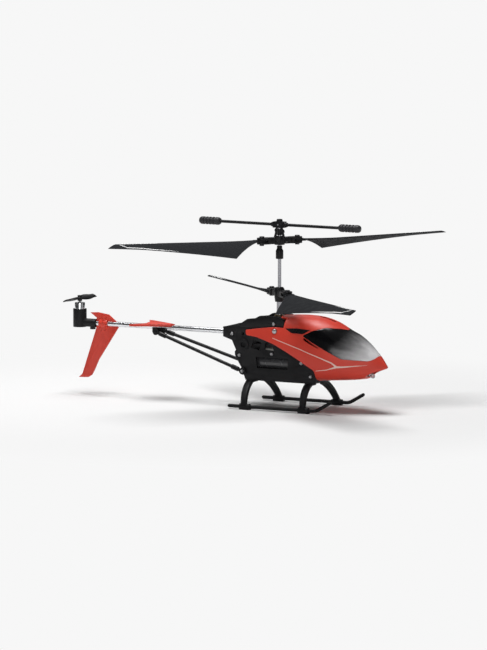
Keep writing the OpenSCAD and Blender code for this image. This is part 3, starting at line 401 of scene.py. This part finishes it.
def loft(name, rings):
    """Closed mesh through rings of the same number of points."""
    n = len(rings[0])
    points = [p for ring in rings for p in ring]
    faces = [(i * n + j, i * n + (j + 1) % n, (i + 1) * n + (j + 1) % n, (i + 1) * n + j)
             for i in range(len(rings) - 1) for j in range(n)]
    faces.append(tuple(range(n - 1, -1, -1)))
    faces.append(tuple((len(rings) - 1) * n + j for j in range(n)))
    mesh = mesh_of(name, points, faces)
    tidy = bmesh.new()
    tidy.from_mesh(mesh)
    bmesh.ops.recalc_face_normals(tidy, faces=tidy.faces)
    tidy.to_mesh(mesh)
    tidy.free()
    return mesh


def applied(mesh, *modifiers):
    """The mesh with modifiers applied; each is (type, settings)."""
    holder = bpy.data.objects.new("holder", mesh)
    bpy.context.scene.collection.objects.link(holder)
    for kind, settings in modifiers:
        modifier = holder.modifiers.new(kind, kind)
        for key, value in settings.items():
            setattr(modifier, key, value)
    graph = bpy.context.evaluated_depsgraph_get()
    result = bpy.data.meshes.new_from_object(holder.evaluated_get(graph))
    bpy.data.objects.remove(holder)
    return result


def boolean(mesh, cutter_mesh, operation):
    cutter = bpy.data.objects.new("cutter", cutter_mesh)
    bpy.context.scene.collection.objects.link(cutter)
    result = applied(mesh, ("BOOLEAN", {"object": cutter, "operation": operation, "solver": "EXACT"}))
    bpy.data.objects.remove(cutter)
    return result


def rounded_node(node, width=0.15 * MM, segments=2):
    """A copy of a CAD node's shape with its sharp edges rounded, which stands for the node."""
    source = NODES[node].data
    form = bmesh.new()
    form.from_mesh(source)
    bmesh.ops.remove_doubles(form, verts=form.verts, dist=1e-6)
    bmesh.ops.dissolve_limit(form, angle_limit=math.radians(1.0), verts=form.verts, edges=form.edges)
    mesh = bpy.data.meshes.new(node + "_skin")
    form.to_mesh(mesh)
    form.free()
    mesh = applied(mesh, ("BEVEL", {"width": width, "segments": segments, "limit_method": "ANGLE",
                                    "angle_limit": math.radians(38), "use_clamp_overlap": True}))
    mesh.name = node + "_skin"
    material = "guard_smoke" if node == "motor_guards" else SLOT_OF[node]
    return add_piece(node + "_skin", mesh, NODES[node]["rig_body"], material, (node,), 40)


# ---- Cabin ----

# x from the rotor axis, share of the half width, top, widest height, bottom; all lengths in mm
CABIN_STATIONS = [
    (-17, 0.79, 52, 31, 12), (-6, 0.81, 52.1, 31, 12), (4, 0.86, 52.4, 31, 12), (12, 0.92, 52.9, 31, 13),
    (20, 0.975, 53, 30.6, 14.5), (28, 1, 52.3, 29.4, 16.8), (36, 0.96, 50, 28, 17.4),
    (44, 0.845, 46, 27, 17.9), (50, 0.72, 43.3, 26.6, 18.4), (56, 0.56, 39.1, 26.3, 19.2),
    (60, 0.45, 35.2, 26.2, 20.2), (62.7, 0.345, 32.6, 26.2, 21.8), (65.2, 0.21, 29.8, 26.2, 23.7),
    (67.8, 0.06, 26.6, 26.1, 25.6)]
CABIN_WALL = 1.0
PLATE_OUTER = max(abs(v.co.y) for v in NODES["rotor_housing"].data.vertices) / MM
CABIN_HALF = PLATE_OUTER + 6.5
ROOF_HALF = 5.5
SCREW_X, SCREW_Z = 2.8, 44
SCREW_SEAT_Y = CABIN_HALF * 0.72
SCREW_BOSS_R, SCREW_SEAT_R = 1.9, 1.6


def cabin_station(x):
    """Half width, top, middle and bottom at x, on a smooth curve through the stations."""
    rows = CABIN_STATIONS
    x = min(max(x, rows[0][0]), rows[-1][0])
    i = max(k for k in range(len(rows) - 1) if rows[k][0] <= x)
    span = rows[i + 1][0] - rows[i][0]
    t = (x - rows[i][0]) / span

    def slope(k, c):
        low, high = max(k - 1, 0), min(k + 1, len(rows) - 1)
        return (rows[high][c] - rows[low][c]) / (rows[high][0] - rows[low][0])

    def value(c):
        a, b = rows[i][c], rows[i + 1][c]
        da, db = slope(i, c) * span, slope(i + 1, c) * span
        return (a * (2 * t**3 - 3 * t**2 + 1) + da * (t**3 - 2 * t**2 + t)
                + b * (3 * t**2 - 2 * t**3) + db * (t**3 - t**2))

    return CABIN_HALF * value(1), value(2), value(3), value(4)


def signed_power(value, power):
    return math.copysign(abs(value) ** power, value)


def belly_power(x):
    """How boxy the lower half of a section is: boxy under the middle, rounder towards the nose."""
    return 0.5 + 0.4 * min(1, max(0, (x - 28) / 32))


def cabin_point(x, angle, inset=0.0):
    half, top, middle, bottom = cabin_station(x)
    rise = (top - middle if math.sin(angle) > 0 else middle - bottom) - inset
    power = 0.86 if math.sin(angle) > 0 else belly_power(x)
    y = max(half - inset, 0.3) * signed_power(math.cos(angle), power)
    z = middle + max(rise, 0.3) * signed_power(math.sin(angle), 0.92)
    return Vector(((x * MM) + MAST_X, y * MM, z * MM))


def cabin_y(x, z):
    """Half width of the outer skin at a height, in mm."""
    half, top, middle, bottom = cabin_station(x)
    rise = top - middle if z > middle else middle - bottom
    share = min(abs(z - middle) / rise, 0.999)
    angle = math.asin(share ** (1 / 0.92))
    return half * math.cos(angle) ** (0.86 if z > middle else belly_power(x))


def cabin_form(inset):
    first, last = CABIN_STATIONS[0][0], CABIN_STATIONS[-1][0] - 2.2 * inset
    steps, sides = 90, 96
    rings = [[cabin_point(first + (last - first) * i / steps, 2 * math.pi * j / sides, inset)
              for j in range(sides)] for i in range(steps + 1)]
    return loft("cabin_form", rings)


def rounded_outline(points, radius, steps=5):
    """A polygon with its corners turned into arcs of about the given radius."""
    result = []
    n = len(points)
    for i in range(n):
        before, here, after = (Vector(points[(i + k) % n]) for k in (-1, 0, 1))
        cut = min(radius, (before - here).length * 0.45, (after - here).length * 0.45)
        start = here + (before - here).normalized() * cut
        end = here + (after - here).normalized() * cut
        for k in range(steps + 1):
            t = k / steps
            result.append(start * (1 - t)**2 + here * 2 * t * (1 - t) + end * t**2)
    return result


def prism(outline, y_low, y_high):
    """A side-view outline in mm, extruded along Y."""
    points = [((p[0] * MM) + MAST_X, y * MM, p[1] * MM) for y in (y_low, y_high) for p in outline]
    n = len(outline)
    faces = [tuple(range(n)), tuple(range(2 * n - 1, n - 1, -1))]
    faces += [(j, j + n, (j + 1) % n + n, (j + 1) % n) for j in range(n)]
    mesh = mesh_of("prism", points, faces)
    tidy = bmesh.new()
    tidy.from_mesh(mesh)
    bmesh.ops.triangulate(tidy, faces=[f for f in tidy.faces if len(f.verts) > 4])
    bmesh.ops.recalc_face_normals(tidy, faces=tidy.faces)
    tidy.to_mesh(mesh)
    tidy.free()
    return mesh


CABIN_OUTLINE = [(-16.2, 43.8), (-15.3, 41), (-8.3, 40.2), (3, 36.9), (11.5, 33.2), (19.9, 29.1),
                 (29, 23.9), (29.6, 22.1), (29, 17.3), (29.5, 10), (55, 10), (55.5, 18.8), (57.5, 21.5),
                 (60.5, 23), (66.8, 25.2), (75, 26), (75, 60), (3.5, 60), (3.5, 50.3), (7.7, 50.2),
                 (7.9, 47.9), (8.2, 46), (2.2, 46.3), (-5.4, 45.4)]
WINDOW_OUTLINE = [(21.5, 42.7), (27, 45.5), (34, 47.4), (41, 46.8), (46, 45.3), (48, 60), (75, 60),
                  (62.5, 31.2), (59.7, 29.8), (45.2, 30.8)]
VENT_OUTLINE = [(9.4, 46), (17.8, 46.4), (25.6, 45.9), (21.4, 43.7), (14, 43.9)]
SLIT_OUTLINE = [(21.8, 41.3), (23, 41.5), (32.6, 36.4), (31.6, 36.3), (23, 40)]


def grown(outline, amount):
    """The outline moved outward by an amount, about its own middle line."""
    n = len(outline)
    area = sum(outline[i][0] * outline[(i + 1) % n][1] - outline[(i + 1) % n][0] * outline[i][1]
               for i in range(n))
    side = 1 if area > 0 else -1
    result = []
    for i in range(n):
        before, here, after = (Vector(outline[(i + k) % n]) for k in (-1, 0, 1))
        first, second = (here - before).normalized(), (after - here).normalized()
        normal = Vector((first.y + second.y, -first.x - second.x)) * side
        result.append(here + normal.normalized() * amount / max(0.4, math.cos(first.angle(second) / 2)))
    return result


def edge_rounded(mesh, width):
    form = bmesh.new()
    form.from_mesh(mesh)
    bmesh.ops.remove_doubles(form, verts=form.verts, dist=0.02 * MM)
    bmesh.ops.dissolve_degenerate(form, edges=form.edges, dist=0.005 * MM)
    form.to_mesh(mesh)
    form.free()
    return applied(mesh, ("BEVEL", {"width": width, "segments": 2, "limit_method": "ANGLE",
                                    "angle_limit": math.radians(50), "use_clamp_overlap": False}))


def disc_outline(x, z, radius):
    return [(x + radius * math.cos(math.pi * k / 12), z + radius * math.sin(math.pi * k / 12))
            for k in range(24)]


def cabin_skin():
    return boolean(cabin_form(0), cabin_form(CABIN_WALL), "DIFFERENCE")


def build_cabin():
    skin = cabin_skin()
    window = rounded_outline(WINDOW_OUTLINE, 1.2)
    vent = rounded_outline(VENT_OUTLINE, 0.8)
    outline = rounded_outline(CABIN_OUTLINE, 1.0)
    gap = 0.1
    shell = boolean(skin.copy(), prism(outline, -40, 40), "INTERSECT")
    shell = boolean(shell, prism(rounded_outline(grown(WINDOW_OUTLINE, gap), 1.2), -40, 40), "DIFFERENCE")
    shell = boolean(shell, prism(rounded_outline(grown(VENT_OUTLINE, gap), 0.8), -40, 40), "DIFFERENCE")
    shell = boolean(shell, prism(rounded_outline(SLIT_OUTLINE, 0.4), -40, 40), "DIFFERENCE")
    shell = boolean(shell, prism([(25.8, 50.2), (25.8, 60), (35.6, 60), (35.6, 47)], -1.1, 1.1), "DIFFERENCE")
    roof_gap = [(-20, 36), (7.8, 36), (7.8, 60), (-20, 60)]
    boss = disc_outline(SCREW_X, SCREW_Z, SCREW_BOSS_R)
    seat = disc_outline(SCREW_X, SCREW_Z, SCREW_SEAT_R)
    for side in (-1, 1):
        shell = boolean(shell, prism(roof_gap, side * ROOF_HALF, side * (PLATE_OUTER + 0.05)), "DIFFERENCE")
        shell = boolean(shell, prism(boss, side * (PLATE_OUTER + 0.2), side * SCREW_SEAT_Y), "UNION")
        shell = boolean(shell, prism(seat, side * SCREW_SEAT_Y, side * (CABIN_HALF + 1)), "DIFFERENCE")
    for name, low, high in (("cabin_left", 0.04, 40), ("cabin_right", -40, -0.04)):
        half = boolean(shell.copy(), prism([(-30, 0), (80, 0), (80, 70), (-30, 70)], low, high), "INTERSECT")
        add_piece(name + "_skin", edge_rounded(half, 0.12 * MM), "fuselage", "red_shell",
                  replaces=(name,), sharp=30)
    glass = boolean(skin.copy(), prism(window, -40, 40), "INTERSECT")
    add_piece("windshield_skin", edge_rounded(glass, 0.1 * MM), "fuselage", "windshield",
              replaces=("windshield",), sharp=30)
    panels = boolean(skin.copy(), prism(vent, -40, 40), "INTERSECT")
    add_piece("vent_panels_skin", edge_rounded(panels, 0.1 * MM), "fuselage", "housing_black",
              replaces=("vent_panels",), sharp=30)


def ribbon_on_cabin(name, path, widths, side, material, lift=0.05, thick=0.1, steps=48):
    """A thin strip that lies on the cabin's skin along a path of (x, z) points in mm."""
    lengths = [0.0]
    for a, b in zip(path, path[1:]):
        lengths.append(lengths[-1] + (Vector(b) - Vector(a)).length)

    def along(values, t, eased=False):
        d = t * lengths[-1]
        i = max(k for k in range(len(path) - 1) if lengths[k] <= d + 1e-9)
        s = (d - lengths[i]) / (lengths[i + 1] - lengths[i])
        s = s * s * (3 - 2 * s) if eased else s
        return Vector(values[i]).lerp(Vector(values[i + 1]), s)

    width_rows = [(w, 0) for w in widths]
    rings = []
    for k in range(steps + 1):
        t = k / steps
        here = along(path, t)
        ahead = along(path, min(t + 0.01, 1)) - along(path, max(t - 0.01, 0))
        across = Vector((-ahead.y, ahead.x)).normalized() * along(width_rows, t, len(path) > 2).x / 2
        ring = []
        for share, out in ((-1, -thick), (-1, lift), (0, lift), (1, lift), (1, -thick)):
            x, z = here + across * share
            ring.append(Vector((x * MM + MAST_X, side * (cabin_y(x, z) + out) * MM, z * MM)))
        rings.append(ring)
    return add_piece(name, loft(name, rings), "fuselage", material)


def build_cabin_lines():
    junction = (42.9, 26.3)
    for side, tag in ((-1, "right"), (1, "left")):
        ribbon_on_cabin("upper_line_" + tag, [(2, 40.3), (20.3, 35.4), (32.9, 31.3), (40.2, 28.5), junction],
                        [0.35, 0.4, 0.5, 0.7, 1.1], side, "pale_line")
        ribbon_on_cabin("lower_line_" + tag, [(30.6, 23.6), (37, 24.5), junction], [0.25, 0.45, 1.0], side,
                        "pale_line", 0.06)
        ribbon_on_cabin("nose_line_" + tag, [junction, (46, 26.4), (52, 27), (59, 27.6)],
                        [1.1, 0.8, 0.5, 0.12], side, "pale_line", 0.07)
        for k in range(4):
            x = 13.6 + 2.3 * k
            ribbon_on_cabin(f"louvre_{tag}_{k}", [(x, 44.2), (x + 1.3, 46)], [0.6, 0.6], side,
                            "housing_black", 0.3, 0.2, 6)


# ---- Blades ----

BLADE_R = 98.0
WIDE_R = 34.0
FOLD_R = 10.9
PIVOT_R = 2.5
NECK_R = FOLD_R + PIVOT_R + 0.6
BLADE_CHORD = 21.5
TIP_CHORD = 7.2
TIP_RAKE = 8.0
BLADE_T = 1.2
ROOT_PITCH = math.radians(21)
UPPER_CONE = math.radians(0.9)
TIP_PITCH = math.radians(12)
CAMBER = 0.7
UPPER_AZIMUTH = math.radians(51.3)
LOWER_AZIMUTH = math.radians(-38.9)
SCREW_TO_BLADE = 0.05 * MM


def blade_shape(r):
    """Chord and pitch at a radius."""
    if r < WIDE_R:
        run = max((r - NECK_R) / (WIDE_R - NECK_R), 0)
        return 2 * PIVOT_R + (BLADE_CHORD - 2 * PIVOT_R) * run ** 1.2, ROOT_PITCH * run ** 0.6
    share = (r - WIDE_R) / (BLADE_R - WIDE_R)
    return BLADE_CHORD + (TIP_CHORD - BLADE_CHORD) * share, ROOT_PITCH + (TIP_PITCH - ROOT_PITCH) * share


def blade_local(r, s, lift):
    """A point at radius r and chord share s, a lift above the blade's middle surface, in mm."""
    chord, pitch = blade_shape(r)
    up = lift + 4 * CAMBER * chord / BLADE_CHORD * s * (1 - s)
    rake = TIP_RAKE * s * max(0, (r - BLADE_R + 11) / 11)
    return Vector((r + rake, s * chord * math.cos(pitch) + up * math.sin(pitch) - PIVOT_R,
                   up * math.cos(pitch) - s * chord * math.sin(pitch)))


def blade_place(point, node):
    """From the blade's own axes to the frame; the lower blades are mirrored."""
    upper = node.startswith("upper")
    azimuth = (UPPER_AZIMUTH if upper else LOWER_AZIMUTH) + (math.pi if node.endswith("b") else 0)
    y = point.y if upper else -point.y
    c, s = math.cos(azimuth), math.sin(azimuth)
    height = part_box(node.replace("blade_a", "blade_screws").replace("blade_b", "blade_screws"))
    z = (height[0].z + height[1].z) / 2 + SCREW_TO_BLADE
    slope = max(0, point.x - NECK_R) * math.tan(UPPER_CONE) if upper else 0
    return Vector((MAST_X + (point.x * c - y * s) * MM, (point.x * s + y * c) * MM,
                   z + (point.z + slope) * MM))


def blade_thickness(s, r):
    """Half thickness of the section: a blunt nose and a thin tail."""
    full = BLADE_T / 2
    shape = 2.3 * math.sqrt(max(s, 0)) * (1 - s) + 0.12
    return full * min(1.0, shape) * (0.75 + 0.25 * min(1, (BLADE_R - r) / 50))


def blade_mesh(node):
    radii = [NECK_R + (WIDE_R - NECK_R) * i / 16 for i in range(17)]
    radii += [WIDE_R + (BLADE_R - WIDE_R) * i / 30 for i in range(1, 31)]
    shares = [0, 0.01, 0.04, 0.1, 0.2, 0.35, 0.5, 0.65, 0.8, 0.92, 1]
    rings = []
    for r in radii:
        top = [blade_local(r, s, blade_thickness(s, r)) for s in shares]
        under = [blade_local(r, s, -blade_thickness(s, r)) for s in reversed(shares)]
        rings.append([blade_place(p, node) for p in top + under])
    return loft(node, rings)


def root_tab(node):
    """The flat round root that the screw passes through, as a ring-shaped plate."""
    steps = 40
    outer, inner = [], []
    for k in range(steps):
        a = 2 * math.pi * k / steps
        x, y = PIVOT_R * math.cos(a), PIVOT_R * math.sin(a)
        if x > 0:
            x, y = min(NECK_R + 1.2 - FOLD_R, abs(x) * 3), math.copysign(PIVOT_R * min(1, abs(y) * 1.2), y)
        outer.append((FOLD_R + x, y))
        inner.append((FOLD_R + 0.66 * math.cos(a), 0.66 * math.sin(a)))
    points, faces = [], []
    for z in (-BLADE_T / 2, BLADE_T / 2):
        for row in (outer, inner):
            points += [blade_place(Vector((x, y, z)), node) for x, y in row]
    for j in range(steps):
        k = (j + 1) % steps
        low_out, low_in, top_out, top_in = 0, steps, 2 * steps, 3 * steps
        faces += [(low_out + j, low_out + k, low_in + k, low_in + j),
                  (top_out + j, top_in + j, top_in + k, top_out + k),
                  (low_out + j, top_out + j, top_out + k, low_out + k),
                  (low_in + j, low_in + k, top_in + k, top_in + j)]
    mesh = mesh_of(node + "_root", points, faces)
    form = bmesh.new()
    form.from_mesh(mesh)
    bmesh.ops.recalc_face_normals(form, faces=form.faces)
    form.to_mesh(mesh)
    form.free()
    return mesh


def blade_line(node, name, path, width):
    """A thin raised strip on the top of a blade, along (r, s) points."""
    rings = []
    count = 30
    for k in range(count + 1):
        t = k / count * (len(path) - 1)
        i = min(int(t), len(path) - 2)
        r = path[i][0] + (path[i + 1][0] - path[i][0]) * (t - i)
        s = path[i][1] + (path[i + 1][1] - path[i][1]) * (t - i)
        half = width / blade_shape(r)[0] / 2
        grow = min(1.0, 0.15 + 3 * k / count)
        ring = []
        for side, lift in ((-1, 0), (-1, 0.05), (1, 0.05), (1, 0)):
            share = s + side * half * grow
            ring.append(blade_place(blade_local(r, share, blade_thickness(share, r) - 0.02 + lift), node))
        rings.append(ring)
    return add_piece(f"{node}_{name}", loft(name, rings), node, "white_line")


def build_blades():
    for node in ("upper_blade_a", "upper_blade_b", "lower_blade_a", "lower_blade_b"):
        add_piece(node + "_skin", blade_mesh(node), node, "blade_charcoal", replaces=(node,), sharp=40)
        add_piece(node + "_root", root_tab(node), node, "blade_charcoal", sharp=40)
        blade_line(node, "front_line", [(74, 0.1), (86, 0.11), (95.5, 0.16)], 0.8)
        blade_line(node, "rear_line", [(66, 0.93), (82, 0.9), (91.5, 0.82), (95.5, 0.3)], 0.8)


# ---- Flybar weights ----

FLYBAR_AZIMUTH = math.radians(-3)
FLYBAR_REACH = 52.6 * MM
WEIGHT_LENGTH = 14 * MM

def build_flybar_weights():
    """Round weights with four grooves, turned about the rod."""
    low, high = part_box("flybar_weights")
    radius = (high.z - low.z) / 2
    height = (high.z + low.z) / 2
    profile = [(0.0, 0.62), (0.4, 0.8), (1.2, 0.98), (2.4, 1.0)]
    for k in range(4):
        x = 3.0 + 2.1 * k
        profile += [(x, 1.0), (x + 0.25, 0.82), (x + 1.0, 0.82), (x + 1.25, 1.0)]
    profile += [(11.6, 1.0), (12.6, 0.96), (13.4, 0.75), (13.7, 0.35)]
    sides = 40
    for tag, turn in (("front", 0), ("rear", math.pi)):
        c, s = math.cos(FLYBAR_AZIMUTH + turn), math.sin(FLYBAR_AZIMUTH + turn)
        rings = []
        for along, share in profile:
            d = FLYBAR_REACH - WEIGHT_LENGTH + along * MM
            ring = []
            for j in range(sides):
                a = 2 * math.pi * j / sides
                side, up = radius * share * math.cos(a), radius * share * math.sin(a)
                ring.append(Vector((MAST_X + d * c - side * s, d * s + side * c, height + up)))
            rings.append(ring)
        add_piece("flybar_weight_" + tag, loft("flybar_weight", rings), "flybar", "weight_grey",
                  replaces=("flybar_weights",) if turn == 0 else (), sharp=50)


# ---- CAD nodes that keep their shape: the width their sharp edges are rounded by, in mm ----

ROUNDED = {
    "rotor_housing": 0.25, "side_plate_left": 0.15, "side_plate_right": 0.15, "boom_clamp": 0.2,
    "upper_grip": 0.15, "lower_grip": 0.15, "flybar_carrier": 0.15, "mast_collar": 0.15,
    "legs_left": 0.3, "legs_right": 0.3, "tail_fin": 0.2, "stabilizer": 0.2, "tail_motor_mount": 0.2,
    "strut_bracket": 0.2, "tail_motor": 0.15, "frame_screws": 0.08, "upper_blade_screws": 0.1,
    "lower_blade_screws": 0.1, "link_a": 0.1, "link_b": 0.1, "frame_spacers": 0.1, "motor_front": 0.2,
    "motor_rear": 0.2, "tail_propeller": 0.05, "cabin_screws": 0.08, "nose_tray": 0.15,
    "circuit_board": 0.1, "battery": 0.2, "motor_guards": 0.2,
}


def finish_cad_nodes():
    for node, width in ROUNDED.items():
        rounded_node(node, width * MM)
    for node, thing in NODES.items():
        thing.data.materials.clear()
        thing.data.materials.append(MATERIALS[SLOT_OF[node]])


bpy.context.scene.view_settings.view_transform = "Standard"
make_camera()
make_world()
make_lights()
make_floor()
build_cabin()
build_cabin_lines()
build_blades()
build_flybar_weights()
finish_cad_nodes()
